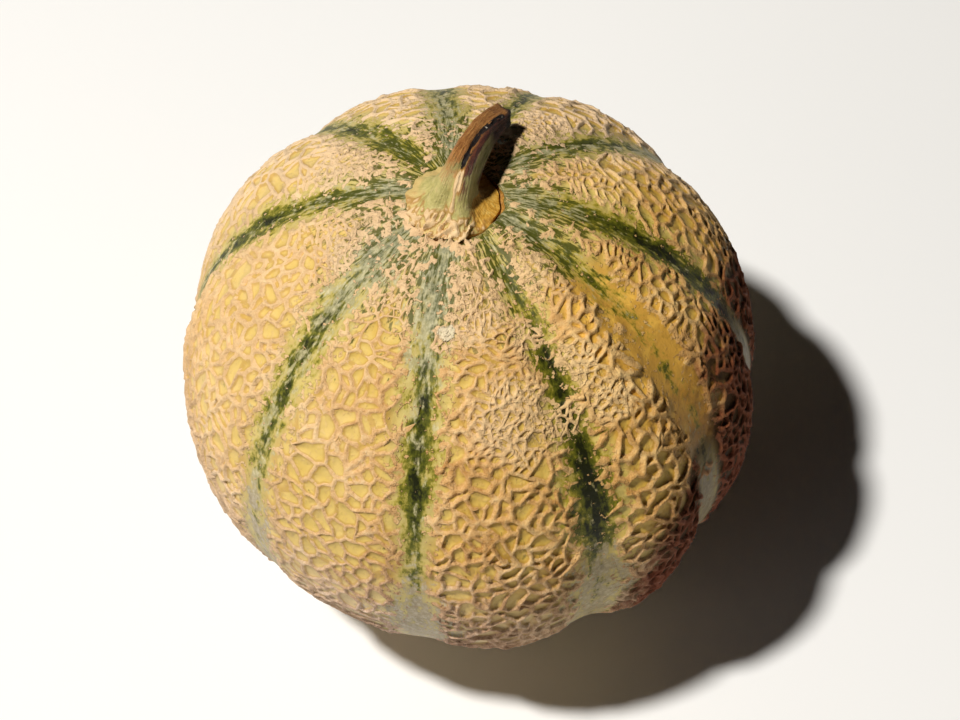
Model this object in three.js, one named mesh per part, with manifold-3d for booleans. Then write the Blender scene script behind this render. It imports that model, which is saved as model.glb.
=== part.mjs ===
// A Charentais cantaloupe melon, in millimetres: the ribbed and netted fruit, and its cut stem.
// +Z runs from the blossom end, on which the fruit rests, to the stem end. -Y is the front.
// Azimuths are in degrees from the front, turning towards +X. The polar angle is 0 at the stem.
import * as THREE from "three";
import { ConvexHull } from "three/addons/math/ConvexHull.js";
import { mergeVertices } from "three/addons/utils/BufferGeometryUtils.js";
import Module from "manifold-3d";

// The fruit's body.
const EQUATOR_R = 70;
const HALF_HEIGHT = 67;
const FLAT_DEPTH = 2.2; // how far the round bottom is pressed flat where the fruit rests
const CENTRE_Z = HALF_HEIGHT - FLAT_DEPTH;
const DIMPLE_DEPTH = 2.5; // the shallow hollow round the stem
const DIMPLE_ANGLE = 17;

// The ten grooves between the ribs, and how proud the crown of the rib after each one stands.
const RIB_LEAN = 4; // the grooves meet this many degrees behind the stem, on an axis of their own
const GROOVE_AZIMUTHS = [22.6, 52.4, 79.6, 121.6, 154.4, 181.2, 217.3, 260.5, 308.4, 345.5];
const CROWN_RISES = [1.3, 0.4, 0.1, -0.1, -1.3, -0.4, 0.9, -0.2, -1.3, 0.1];
const GROOVE_DEPTH = 1.9;
const GROOVE_ROUNDING = 0.15; // share of half a rib over which the bottom of the groove is round
const GROOVE_WANDER = 0.9; // how many degrees a groove strays from its meridian
const GROOVES_START = 17; // polar angles between which the grooves are clear of net
const GROOVES_END = 164;

// The raised net. Its cells are larger than on a real rind, so that each strand has a few faces.
const CELL_COUNT = 825; // over the whole fruit, before the grooves are cleared
const CELL_JITTER = 0.24;
const NET_RISE = 1.0;
const STRAND_HALF_WIDTH = 1.35;
const PAIR_OFFSET = 2.5; // smooth cells lie in pairs along each groove, at most this far from its line
const PAIR_SHARE = 0.13; // and at most this share of the rib's width, where the grooves run together
const PAIR_STEP = 6.2;
const BARE_OFFSETS = 1.1; // no net within this many pair offsets of a groove
const FULL_NET_OFFSETS = 2.1; // and its full height from this many on
const NET_STARTS = 11.5; // polar angle of the first net cells round the stem
const SEED = 20;

// The stem, whose foot stands in a shallow pit that the skin cracks away from.
const STEM_X = -0.4;
const STEM_Y = 2.0;
const FOOT_R = 9.9;
const PIT_R = 10.5;
const STALK_R = 4.4;
const TIP_R = 2.7;
const PIT_FLOOR_Z = 127.9;
const SEAT_GAP = 0.3;
const STEM_RIDGES = 5;
const STEM_SIDES = 30;
const STEM_SECTIONS = 18;

const wasm = await Module();
wasm.setup();

function seededRandom(seed) {
  let state = seed;
  return () => {
    state = (state + 0x6d2b79f5) | 0;
    let mixed = Math.imul(state ^ (state >>> 15), 1 | state);
    mixed = (mixed + Math.imul(mixed ^ (mixed >>> 7), 61 | mixed)) ^ mixed;
    return ((mixed ^ (mixed >>> 14)) >>> 0) / 4294967296;
  };
}

const radians = THREE.MathUtils.degToRad;
const degrees = THREE.MathUtils.radToDeg;
const smooth = THREE.MathUtils.smoothstep;

// A unit vector from the fruit's centre.
function direction(polar, azimuth) {
  const [p, a] = [radians(polar), radians(azimuth)];
  return new THREE.Vector3(Math.sin(p) * Math.sin(a), -Math.sin(p) * Math.cos(a), Math.cos(p));
}

// The same, for a polar angle and azimuth round the ribs' own axis.
const LEAN_AXIS = new THREE.Vector3(1, 0, 0);
function ribDirection(polar, azimuth) {
  return direction(polar, azimuth).applyAxisAngle(LEAN_AXIS, -radians(RIB_LEAN));
}

function polarAngle(dir) {
  return degrees(Math.acos(THREE.MathUtils.clamp(dir.z, -1, 1)));
}

// A groove's own azimuth at a polar angle: it wanders a little round its meridian.
function grooveAzimuth(index, polar) {
  return GROOVE_AZIMUTHS[index] + GROOVE_WANDER * Math.sin(radians(2.2 * polar + 77 * index));
}

// Where a direction lies between two grooves: the rib's index, the share of the way across it,
// the distance to the nearer groove, counted in pair offsets, and the polar angle on the ribs' axis.
function placeOnRib(dir) {
  const upright = dir.clone().applyAxisAngle(LEAN_AXIS, radians(RIB_LEAN));
  const polar = polarAngle(upright);
  const azimuth = degrees(Math.atan2(upright.x, -upright.y));
  const count = GROOVE_AZIMUTHS.length;
  for (let rib = 0; rib < count; rib++) {
    const start = grooveAzimuth(rib, polar);
    const width = THREE.MathUtils.euclideanModulo(grooveAzimuth((rib + 1) % count, polar) - start, 360);
    const across = THREE.MathUtils.euclideanModulo(azimuth - start, 360);
    if (across > width) continue;
    const toGroove = Math.min(across, width - across);
    const perDegree = radians(1) * EQUATOR_R * Math.sin(radians(polar));
    const pairOffset = Math.min(PAIR_OFFSET, PAIR_SHARE * width * perDegree);
    return { rib, share: across / width, offsets: (toGroove * perDegree) / pairOffset, polar };
  }
  throw new Error("the grooves leave a gap at azimuth " + azimuth);
}

// The smooth skin: an ellipsoid with ribs, a dimple round the stem and a flat spot below.
function skinPoint(dir, rise = 0) {
  const { rib, share, polar } = placeOnRib(dir);
  const fromGroove = 1 - Math.abs(2 * share - 1);
  const rounded = Math.hypot(fromGroove, GROOVE_ROUNDING) / Math.hypot(1, GROOVE_ROUNDING);
  const ribs = smooth(polar, 3, 32) * smooth(-polar, -177, -145);
  const crown = CROWN_RISES[rib] * Math.sin(Math.PI * share) ** 2;
  const dimple = DIMPLE_DEPTH * Math.exp(-((polarAngle(dir) / DIMPLE_ANGLE) ** 2));
  const growth = rise - dimple + ribs * (crown - GROOVE_DEPTH * (1 - rounded) ** 2);
  const point = new THREE.Vector3(
    dir.x * (EQUATOR_R + growth),
    dir.y * (EQUATOR_R + growth),
    dir.z * (HALF_HEIGHT + growth) + CENTRE_Z,
  );
  point.z = Math.max(point.z, 0);
  return point;
}

// How much of its full height the net has: none in the grooves and beside the stem.
function netShare(dir) {
  const { offsets } = placeOnRib(dir);
  const fromStem = smooth(polarAngle(dir), NET_STARTS - 2, NET_STARTS + 3);
  return smooth(offsets, BARE_OFFSETS, FULL_NET_OFFSETS) * fromStem;
}

// The middles of the cells, as unit vectors: spread evenly with a little disorder over the ribs,
// in pairs along the grooves, and in rings beneath the stem.
function cellMiddles() {
  const random = seededRandom(SEED);
  const middles = [];
  const spacing = Math.sqrt((4 * Math.PI) / CELL_COUNT);
  const goldenTurn = Math.PI * (3 - Math.sqrt(5));
  for (let i = 0; i < CELL_COUNT; i++) {
    const z = 1 - (2 * (i + 0.5)) / CELL_COUNT;
    const r = Math.sqrt(1 - z * z);
    const even = new THREE.Vector3(r * Math.cos(i * goldenTurn), r * Math.sin(i * goldenTurn), z);
    const shift = new THREE.Vector3(random() - 0.5, random() - 0.5, random() - 0.5);
    const dir = even.addScaledVector(shift, 2 * CELL_JITTER * spacing).normalize();
    const { offsets, polar } = placeOnRib(dir);
    if (polarAngle(dir) > NET_STARTS && (polar > GROOVES_END || offsets > 2)) middles.push(dir);
  }
  const step = degrees(PAIR_STEP / EQUATOR_R);
  GROOVE_AZIMUTHS.forEach((_, groove) => {
    for (let polar = GROOVES_START; polar < GROOVES_END; polar += step)
      for (const side of [-1, 1]) {
        const line = grooveAzimuth(groove, polar);
        const { offsets } = placeOnRib(ribDirection(polar, line + side));
        middles.push(ribDirection(polar, line + side / offsets));
      }
  });
  for (const [polar, number] of [[0, 1], [4.5, 7], [9.5, 16]])
    for (let k = 0; k < number; k++) middles.push(direction(polar, (360 * k) / number));
  return middles;
}

// The corners of each cell: the hull's faces round a middle have their normals at the points
// that are equally far from three middles.
function cellsAround(middles) {
  const hull = new ConvexHull().setFromPoints(middles);
  const corners = [];
  const around = new Map(middles.map((middle) => [middle, []]));
  for (const face of hull.faces) {
    const corner = corners.push(face.normal.clone().normalize()) - 1;
    let edge = face.edge;
    do {
      around.get(edge.head().point).push(corner);
      edge = edge.next;
    } while (edge !== face.edge);
  }
  const cells = [];
  for (const [middle, ring] of around) {
    const side = new THREE.Vector3(0.3, 0.8, 0.5).cross(middle).normalize();
    const other = middle.clone().cross(side);
    const turn = (i) => Math.atan2(corners[i].dot(other), corners[i].dot(side));
    cells.push({ middle, ring: ring.sort((a, b) => turn(a) - turn(b)) });
  }
  return { corners, cells };
}

// The fruit's surface. A cell with net gets a sunken floor inside its raised strands, and a bare
// cell is one flat facet fan.
function fruitGeometry() {
  const { corners, cells } = cellsAround(cellMiddles());
  const points = corners.map((corner) => skinPoint(corner, NET_RISE * netShare(corner)));
  const faces = [];
  for (const { middle, ring } of cells) {
    const count = ring.length;
    const centre = new THREE.Vector3();
    ring.forEach((i) => centre.addScaledVector(corners[i], 1 / count));
    const reach = ring.reduce((sum, i) => sum + centre.distanceTo(corners[i]), 0) / count;
    const inset = Math.min(0.5, STRAND_HALF_WIDTH / (EQUATOR_R * reach));
    let floor = ring;
    if (netShare(middle) > 0.02) {
      floor = ring.map((i) => points.push(skinPoint(corners[i].clone().lerp(centre, inset).normalize())) - 1);
      for (let k = 0; k < count; k++) {
        const next = (k + 1) % count;
        faces.push(ring[k], ring[next], floor[next], ring[k], floor[next], floor[k]);
      }
    }
    for (let k = 1; k < count - 1; k++) faces.push(floor[0], floor[k], floor[k + 1]);
  }
  const geometry = new THREE.BufferGeometry().setFromPoints(points);
  geometry.setIndex(faces);
  return geometry;
}

function solidOf(geometry) {
  const bare = geometry.clone();
  bare.deleteAttribute("normal");
  bare.deleteAttribute("uv");
  const merged = mergeVertices(bare, 1e-4);
  return new wasm.Manifold(
    new wasm.Mesh({
      numProp: 3,
      vertProperties: merged.attributes.position.array,
      triVerts: new Uint32Array(merged.index.array),
    }),
  );
}

function geometryOf(solid) {
  const mesh = solid.getMesh();
  const geometry = new THREE.BufferGeometry();
  geometry.setAttribute("position", new THREE.BufferAttribute(mesh.vertProperties, 3));
  geometry.setIndex(new THREE.BufferAttribute(mesh.triVerts, 1));
  geometry.computeVertexNormals();
  return geometry;
}

// The pit that the stem's foot stands in.
function pitGeometry() {
  const height = 20;
  const pit = new THREE.CylinderGeometry(PIT_R, PIT_R, height, 40);
  return pit.rotateX(Math.PI / 2).translate(STEM_X, STEM_Y, PIT_FLOOR_Z + height / 2);
}

// The stem's middle line, from the underside of its foot: it rises, then lies back and to the right
// low over the fruit.
const STEM_LINE = new THREE.CatmullRomCurve3([
  new THREE.Vector3(0, 0, 0),
  new THREE.Vector3(0.3, 0.3, 4.0),
  new THREE.Vector3(1.2, 1.5, 7.2),
  new THREE.Vector3(3.1, 5.0, 9.0),
  new THREE.Vector3(5.8, 10.6, 8.6),
  new THREE.Vector3(8.8, 16.8, 6.2),
  new THREE.Vector3(11.9, 21.9, 2.9),
]);

// The stem's radius at a share of its length: a wide foot that sweeps into a slim stalk, gently on
// its front left and sharply on its back right.
function stemRadius(share, angle) {
  const stalk = STALK_R + (TIP_R - STALK_R) * share;
  const sweep = 0.05 + 0.12 * (0.5 + 0.5 * Math.cos(angle - radians(215)));
  const foot = (FOOT_R - STALK_R) * Math.exp(-((Math.max(0, share - 0.02) / sweep) ** 1.15));
  return stalk + foot;
}

// A cylinder bent along the stem's line, with rounded ridges that run its whole length.
function stemGeometry() {
  const stem = new THREE.CylinderGeometry(1, 1, 1, STEM_SIDES, STEM_SECTIONS).rotateX(Math.PI / 2);
  const position = stem.attributes.position;
  const up = new THREE.Vector3(0, 0, 1);
  for (let i = 0; i < position.count; i++) {
    const point = new THREE.Vector3().fromBufferAttribute(position, i);
    const share = (point.z + 0.5) ** 1.35;
    const angle = Math.atan2(point.y, point.x) + 0.5 * share;
    const ridge = 0.11 * smooth(share, 0.02, 0.3) * Math.cos(STEM_RIDGES * angle + 0.6);
    const reach = Math.hypot(point.x, point.y) * stemRadius(share, angle) * (1 + ridge);
    const across = new THREE.Vector3(reach * Math.cos(angle), reach * Math.sin(angle), 0);
    const along = up.clone().lerp(STEM_LINE.getTangentAt(share), smooth(share, 0, 0.2)).normalize();
    across.applyQuaternion(new THREE.Quaternion().setFromUnitVectors(up, along));
    across.add(STEM_LINE.getPointAt(share));
    position.setXYZ(i, across.x, across.y, across.z);
  }
  return stem;
}

function fruit() {
  const solid = solidOf(fruitGeometry()).subtract(solidOf(pitGeometry()));
  const material = new THREE.MeshStandardMaterial({ color: 0xd9b36c, roughness: 0.75, metalness: 0 });
  const mesh = new THREE.Mesh(geometryOf(solid), material);
  mesh.name = "fruit";
  return mesh;
}

function stem() {
  const material = new THREE.MeshStandardMaterial({ color: 0x9a8a4e, roughness: 0.8, metalness: 0 });
  const mesh = new THREE.Mesh(stemGeometry(), material);
  mesh.name = "stem";
  mesh.position.set(STEM_X, STEM_Y, PIT_FLOOR_Z + SEAT_GAP);
  return mesh;
}

const melon = new THREE.Group();
melon.add(fruit(), stem());

export default melon;
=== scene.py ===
"""A Charentais cantaloupe melon: the ribbed and netted fruit, and its cut stem."""

import math

import bmesh
import bpy
import numpy as np
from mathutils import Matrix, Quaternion, Vector


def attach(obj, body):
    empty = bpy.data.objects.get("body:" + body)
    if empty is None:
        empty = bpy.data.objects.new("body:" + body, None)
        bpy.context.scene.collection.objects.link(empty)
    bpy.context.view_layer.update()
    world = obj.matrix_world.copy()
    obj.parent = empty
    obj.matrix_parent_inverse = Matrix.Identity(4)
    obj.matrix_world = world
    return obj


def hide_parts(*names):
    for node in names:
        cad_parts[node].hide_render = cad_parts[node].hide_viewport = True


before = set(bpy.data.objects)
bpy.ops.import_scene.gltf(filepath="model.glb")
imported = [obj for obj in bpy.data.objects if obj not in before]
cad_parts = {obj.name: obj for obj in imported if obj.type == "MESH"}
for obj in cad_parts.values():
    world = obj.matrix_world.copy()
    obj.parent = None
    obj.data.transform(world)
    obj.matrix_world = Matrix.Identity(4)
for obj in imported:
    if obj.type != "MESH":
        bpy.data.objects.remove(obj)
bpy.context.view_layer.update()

MM = 0.001

# ---- the camera and the light

FRUIT_MIDDLE = Vector((0, 0, 64.8 * MM))
CAMERA_ELEVATION = math.radians(57.5)
CAMERA_DISTANCE = 600 * MM
CAMERA_ROLL = math.radians(-4.5)
SENSOR_WIDTH = 36
FRAME_WIDTH_PIXELS = 960
FOCAL_PIXELS = 2430
FRUIT_MIDDLE_FROM_FRAME_MIDDLE = (-10.2, -2.9)  # pixels to the right and up

# Each light's name, the way to it (right, up, towards the camera), how far off it is, how wide,
# its power and its tint.
LIGHTS = [
    ("key_light", (-0.37, 0.4, 0.8), 1.7, 0.14, 34.0, (1.0, 0.95, 0.86)),
    ("left_light", (-0.84, -0.34, 0.38), 1.5, 1.1, 2.5, (1.0, 0.94, 0.86)),
]
ROOM_TINT = (1, 0.96, 0.9, 1)
ROOM_STRENGTH = 0.007


def camera_axes():
    """The camera's right, its up, and the way from the fruit to the camera."""
    across = Vector((1, 0, 0))
    back = Vector((0, -math.cos(CAMERA_ELEVATION), math.sin(CAMERA_ELEVATION)))
    return across, back.cross(across), back


def add_camera():
    _, _, back = camera_axes()
    bpy.ops.object.camera_add(location=FRUIT_MIDDLE + CAMERA_DISTANCE * back)
    camera = bpy.context.object
    facing = (-back).to_track_quat("-Z", "Y") @ Quaternion((0, 0, 1), CAMERA_ROLL)
    camera.rotation_euler = facing.to_euler()
    camera.data.sensor_width = SENSOR_WIDTH
    camera.data.lens = FOCAL_PIXELS * SENSOR_WIDTH / FRAME_WIDTH_PIXELS
    camera.data.shift_x = -FRUIT_MIDDLE_FROM_FRAME_MIDDLE[0] / FRAME_WIDTH_PIXELS
    camera.data.shift_y = -FRUIT_MIDDLE_FROM_FRAME_MIDDLE[1] / FRAME_WIDTH_PIXELS
    camera.data.clip_start = 0.05
    camera.data.clip_end = 20
    camera.data.dof.use_dof = False
    bpy.context.scene.camera = camera


def add_lights():
    """A key light from the upper left, a broad weak one from the left, and a dim pale room."""
    across, up, back = camera_axes()
    for name, way, distance, size, power, tint in LIGHTS:
        towards = (across * way[0] + up * way[1] + back * way[2]).normalized()
        bpy.ops.object.light_add(type="AREA", location=FRUIT_MIDDLE + distance * towards)
        light = bpy.context.object
        light.name = name
        light.rotation_euler = (-towards).to_track_quat("-Z", "Y").to_euler()
        light.data.shape = "DISK"
        light.data.size = size
        light.data.energy = power
        light.data.color = tint
    world = bpy.data.worlds.new("pale_room")
    world.use_nodes = True
    room = world.node_tree.nodes["Background"].inputs
    room["Color"].default_value = ROOM_TINT
    room["Strength"].default_value = ROOM_STRENGTH
    bpy.context.scene.world = world
    bpy.context.scene.view_settings.view_transform = "Standard"


# ---- node and object helpers


def colour(code):
    """The linear colour of a hex code."""
    shares = [int(code[i : i + 2], 16) / 255 for i in (0, 2, 4)]
    return [s / 12.92 if s <= 0.04045 else ((s + 0.055) / 1.055) ** 2.4 for s in shares] + [1]


class Nodes:
    """Adds nodes to a tree. A value is a number, a hex colour or another node's output."""

    def __init__(self, tree):
        self.tree = tree

    def put(self, value, socket):
        if isinstance(value, bpy.types.NodeSocket):
            self.tree.links.new(value, socket)
        else:
            socket.default_value = colour(value) if isinstance(value, str) else value

    def add(self, kind, inputs=(), **settings):
        node = self.tree.nodes.new(kind)
        for name, value in settings.items():
            setattr(node, name, value)
        for name, value in dict(inputs).items():
            self.put(value, node.inputs[name])
        return node

    def kept(self, *names, output="Fac"):
        """What the mesh keeps at its vertices under each of these names."""
        return [self.add("ShaderNodeAttribute", attribute_name=name).outputs[output] for name in names]

    def maths(self, operation, first, second=0.0, clamp=False):
        inputs = {0: first, 1: second}
        return self.add("ShaderNodeMath", inputs, operation=operation, use_clamp=clamp).outputs[0]

    def times(self, first, second):
        return self.maths("MULTIPLY", first, second)

    def larger(self, first, second):
        return self.maths("MAXIMUM", first, second)

    def total(self, *terms, plus=0.0):
        """The sum of the terms, each of them a value, or a value and its weight."""
        for term in terms:
            value, weight = term if isinstance(term, tuple) else (term, 1.0)
            inputs = {0: value, 1: weight, 2: plus}
            plus = self.add("ShaderNodeMath", inputs, operation="MULTIPLY_ADD").outputs[0]
        return plus

    def between(self, value, low, high, start=0.0, end=1.0):
        """start below low, end above high, and smooth between them. A list is added up first."""
        if isinstance(value, list):
            value = self.total(*value)
        inputs = {"Value": value, "From Min": low, "From Max": high, "To Min": start, "To Max": end}
        return self.add("ShaderNodeMapRange", inputs, interpolation_type="SMOOTHSTEP").outputs[0]

    def noise(self, place, scale, detail=3.0, roughness=0.55, distortion=0.0):
        inputs = {"Vector": place, "Scale": scale, "Detail": detail, "Roughness": roughness}
        return self.add("ShaderNodeTexNoise", {**inputs, "Distortion": distortion}).outputs["Fac"]

    def swing(self, place, scale, gain, *looks):
        """Noise that swings about zero."""
        return self.times(self.maths("SUBTRACT", self.noise(place, scale, *looks), 0.5), gain)

    def mix(self, share, first, second, blend="MIX"):
        node = self.add("ShaderNodeMix", data_type="RGBA", blend_type=blend)
        for value, socket in zip((share, first, second), [s for s in node.inputs if s.enabled]):
            self.put(value, socket)
        return [s for s in node.outputs if s.enabled][0]

    def layers(self, base, *layers):
        """The base with each layer's colour laid over it in turn, by that layer's mask."""
        for mask, over in layers:
            base = self.mix(mask, base, over)
        return base

    def ramp(self, value, stops, codes):
        """A colour that goes through these hex codes at these stops."""
        node = self.add("ShaderNodeValToRGB", {"Fac": value})
        elements = node.color_ramp.elements
        while len(elements) < len(stops):
            elements.new(0.5)
        for element, stop, code in zip(elements, stops, codes.split()):
            element.position = stop
            element.color = colour(code)
        return node.outputs["Color"]

    def finish(self, shader, skin, rough, relief, distance=1.0, strength=1.0):
        """Gives the shader its colour, its roughness and its relief."""
        bump = self.add("ShaderNodeBump", {"Height": relief, "Distance": distance, "Strength": strength})
        self.put(skin, shader.inputs["Base Color"])
        self.put(rough, shader.inputs["Roughness"])
        self.put(bump.outputs["Normal"], shader.inputs["Normal"])


def new_material(name):
    """A material, its Principled BSDF, a Nodes for its tree, and the place on the piece."""
    material = bpy.data.materials.new(name)
    material.use_nodes = True
    nodes = Nodes(material.node_tree)
    place = nodes.add("ShaderNodeTexCoord").outputs["Object"]
    return material, material.node_tree.nodes["Principled BSDF"], nodes, place


def deselect_all():
    bpy.ops.object.select_all(action="DESELECT")


def edit_mode(on=True):
    bpy.ops.object.mode_set(mode="EDIT" if on else "OBJECT")


def make_active(piece):
    deselect_all()
    piece.select_set(True)
    bpy.context.view_layer.objects.active = piece


def positions(mesh):
    places = np.empty(len(mesh.vertices) * 3, np.float32)
    mesh.vertices.foreach_get("co", places)
    return places.reshape(-1, 3).astype(float)


def set_positions(mesh, places):
    mesh.vertices.foreach_set("co", places.astype(np.float32).ravel())
    mesh.update()


def store(mesh, **looks):
    """Keeps numbers or vectors for each vertex of the mesh, for its material to read."""
    for name, values in looks.items():
        values = np.asarray(values, np.float32)
        kind, field = ("FLOAT_VECTOR", "vector") if values.ndim == 2 else ("FLOAT", "value")
        mesh.attributes.new(name, kind, "POINT").data.foreach_set(field, values.ravel())


def apply_modifier(piece, kind, **settings):
    make_active(piece)
    modifier = piece.modifiers.new(kind.lower(), kind)
    for name, value in settings.items():
        setattr(modifier, name, value)
    bpy.ops.object.modifier_apply(modifier=modifier.name)


def columns(*values):
    return np.stack(values, axis=1)


def unit(vectors):
    """The vectors, each at a length of one."""
    return vectors / np.linalg.norm(vectors, axis=1, keepdims=True)


def smooth(value, low, high):
    share = np.clip((value - low) / (high - low), 0, 1)
    return share * share * (3 - 2 * share)


def window(value, low, full, ebbing, high):
    """0 outside low and high, 1 between full and ebbing."""
    return smooth(value, low, full) * smooth(-value, -high, -ebbing)


def ripple(places, wavelength, seed, waves=12):
    """Smooth seeded noise, mostly within -1 and 1, with swells about a wavelength apart."""
    rng = np.random.default_rng(seed)
    ways = rng.normal(size=(waves, 3))
    ways *= 2 * np.pi / wavelength / np.linalg.norm(ways, axis=1, keepdims=True)
    phases = rng.uniform(0, 2 * np.pi, waves)
    return np.sin(places @ ways.T + phases).sum(1) * math.sqrt(1.4 / waves)


# ---- the fruit's form

EQUATOR_R = 70 * MM
HALF_HEIGHT = 67 * MM
FLAT_DEPTH = 2.2 * MM
CENTRE_Z = HALF_HEIGHT - FLAT_DEPTH
DIMPLE_DEPTH = 2.5 * MM
DIMPLE_ANGLE = 17
RIBS_FADE = (3, 32, 145, 177)  # they are full between the middle two of these polar angles
RIB_LEAN = math.radians(4)  # the grooves meet this far behind the stem
GROOVE_AZIMUTHS = [22.6, 52.4, 79.6, 121.6, 154.4, 181.2, 217.3, 260.5, 308.4, 345.5]
CROWN_RISES = np.array([1.3, 0.4, 0.1, -0.1, -1.3, -0.4, 0.9, -0.2, -1.3, 0.1]) * MM
GROOVE_DEPTH = 1.9 * MM
GROOVE_ROUNDING = 0.15
GROOVE_WANDER = 0.9  # degrees to each side
WANDER_TURNS = 2.2
WANDER_OFFSET = 77  # degrees from one groove's wander to the next one's


def polar_angles(dirs):
    return np.degrees(np.arccos(np.clip(dirs[:, 2], -1, 1)))


def azimuths(dirs):
    return np.degrees(np.arctan2(dirs[:, 0], -dirs[:, 1]))


def upright(dirs):
    """The directions as seen from the ribs' own axis, which leans back."""
    y = dirs[:, 1] * math.cos(RIB_LEAN) - dirs[:, 2] * math.sin(RIB_LEAN)
    z = dirs[:, 1] * math.sin(RIB_LEAN) + dirs[:, 2] * math.cos(RIB_LEAN)
    return columns(dirs[:, 0], y, z)


def place_on_rib(dirs):
    """The rib, the share of the way across it, the metres to the nearer groove, and the polar
    angle round the ribs' axis."""
    turned = upright(dirs)
    polar = polar_angles(turned)
    grooves = np.array([
        base + GROOVE_WANDER * np.sin(np.radians(WANDER_TURNS * polar + WANDER_OFFSET * k))
        for k, base in enumerate(GROOVE_AZIMUTHS)
    ])
    widths = (np.roll(grooves, -1, axis=0) - grooves) % 360
    across = (azimuths(turned) - grooves) % 360
    rib = (across <= widths).argmax(axis=0)
    here = rib, np.arange(len(dirs))
    across, width = across[here], widths[here]
    to_groove = np.radians(np.minimum(across, width - across))
    return rib, across / width, to_groove * EQUATOR_R * np.sin(np.radians(polar)), polar


def skin(dirs, rise=0.0):
    """The points of the skin in these directions, raised by rise metres."""
    rib, share, _, polar = place_on_rib(dirs)
    from_groove = 1 - np.abs(2 * share - 1)
    rounded = np.hypot(from_groove, GROOVE_ROUNDING) / math.hypot(1, GROOVE_ROUNDING)
    ribs = window(polar, *RIBS_FADE)
    crown = CROWN_RISES[rib] * np.sin(np.pi * share) ** 2
    dimple = DIMPLE_DEPTH * np.exp(-((polar_angles(dirs) / DIMPLE_ANGLE) ** 2))
    growth = rise - dimple + ribs * (crown - GROOVE_DEPTH * (1 - rounded) ** 2)
    points = dirs * columns(EQUATOR_R + growth, EQUATOR_R + growth, HALF_HEIGHT + growth)
    points[:, 2] = np.maximum(points[:, 2] + CENTRE_Z, 0)
    return points


# ---- the stripes in the grooves

STEM_MIDDLE = np.array([-0.4, 2.0]) * MM

# Along each groove, at these polar angles: how green it is and how much grey bloom lies on it, in
# percent, and half its bare band's width, in tenths of a millimetre.
STOPS = (10, 20, 30, 40, 50, 60, 70, 80, 90, 105, 130, 165)
STRIPES = np.array([
    ((75, 90, 100, 110, 110, 135, 135, 50, 5, 0, 10, 10),
     (10, 0, 5, 0, 10, 0, 5, 70, 100, 100, 70, 30),
     (26, 28, 30, 32, 36, 44, 48, 54, 64, 64, 56, 40)),
    ((80, 85, 50, 24, 12, 6, 10, 10, 0, 0, 10, 10),
     (50, 25, 10, 5, 0, 0, 10, 70, 100, 100, 70, 30),
     (46, 46, 46, 52, 58, 58, 50, 52, 56, 56, 50, 40)),
    ((60, 85, 100, 115, 125, 100, 40, 20, 0, 0, 10, 10),
     (60, 30, 10, 10, 10, 10, 50, 90, 100, 100, 70, 30),
     (54, 52, 48, 44, 40, 36, 38, 44, 50, 50, 50, 40)),
    ((50, 70, 85, 85, 60, 35, 20, 10, 10, 10, 10, 10),
     (60, 40, 30, 30, 50, 80, 80, 80, 80, 70, 70, 30),
     (40, 42, 42, 40, 38, 36, 36, 40, 44, 44, 44, 40)),
    ((50, 60, 85, 90, 60, 50, 40, 30, 20, 10, 10, 10),
     (40, 30, 20, 20, 50, 60, 60, 60, 70, 70, 70, 30),
     (30, 32, 34, 36, 34, 34, 34, 36, 40, 44, 44, 40)),
    ((75, 75, 70, 70, 65, 60, 60, 40, 20, 10, 10, 10),
     (40, 50, 50, 50, 50, 50, 50, 60, 70, 70, 70, 30),
     (46, 52, 56, 54, 48, 42, 40, 40, 44, 44, 44, 40)),
    ((90, 95, 90, 85, 70, 60, 50, 40, 20, 10, 10, 10),
     (15, 15, 20, 30, 40, 40, 40, 50, 60, 70, 70, 30),
     (52, 52, 48, 44, 38, 34, 34, 36, 40, 44, 44, 40)),
    ((80, 80, 85, 95, 95, 85, 50, 30, 20, 10, 10, 10),
     (50, 45, 35, 20, 10, 15, 40, 50, 60, 70, 70, 30),
     (44, 44, 42, 42, 38, 34, 32, 34, 38, 44, 44, 40)),
    ((65, 70, 75, 78, 72, 65, 50, 30, 10, 0, 10, 10),
     (60, 65, 60, 50, 45, 45, 50, 70, 80, 80, 70, 30),
     (56, 56, 52, 48, 46, 44, 42, 42, 46, 50, 48, 40)),
    ((60, 60, 68, 90, 100, 100, 75, 45, 10, 0, 10, 10),
     (55, 68, 65, 40, 25, 15, 20, 50, 90, 100, 70, 30),
     (42, 48, 48, 44, 42, 38, 34, 38, 60, 68, 60, 40)),
])
STRIPE_UNITS = (100, 100, 10000)  # to a share, a share and metres


def stripe_values(dirs):
    """The green, the bloom, half the band's width, and the way out from the nearer groove's line."""
    rib, share, metres, _ = place_on_rib(dirs)
    polar = polar_angles(dirs)
    after = (rib + 1) % len(STRIPES)
    stripe = np.where(share > 0.5, after, rib)
    values = np.zeros((3, len(dirs)))
    for k, rows in enumerate(STRIPES):
        here = stripe == k
        for value, row, units in zip(values, rows, STRIPE_UNITS):
            value[here] = np.interp(polar[here], STOPS, row / units)
    return *values, metres


# ---- the net of cork

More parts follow.
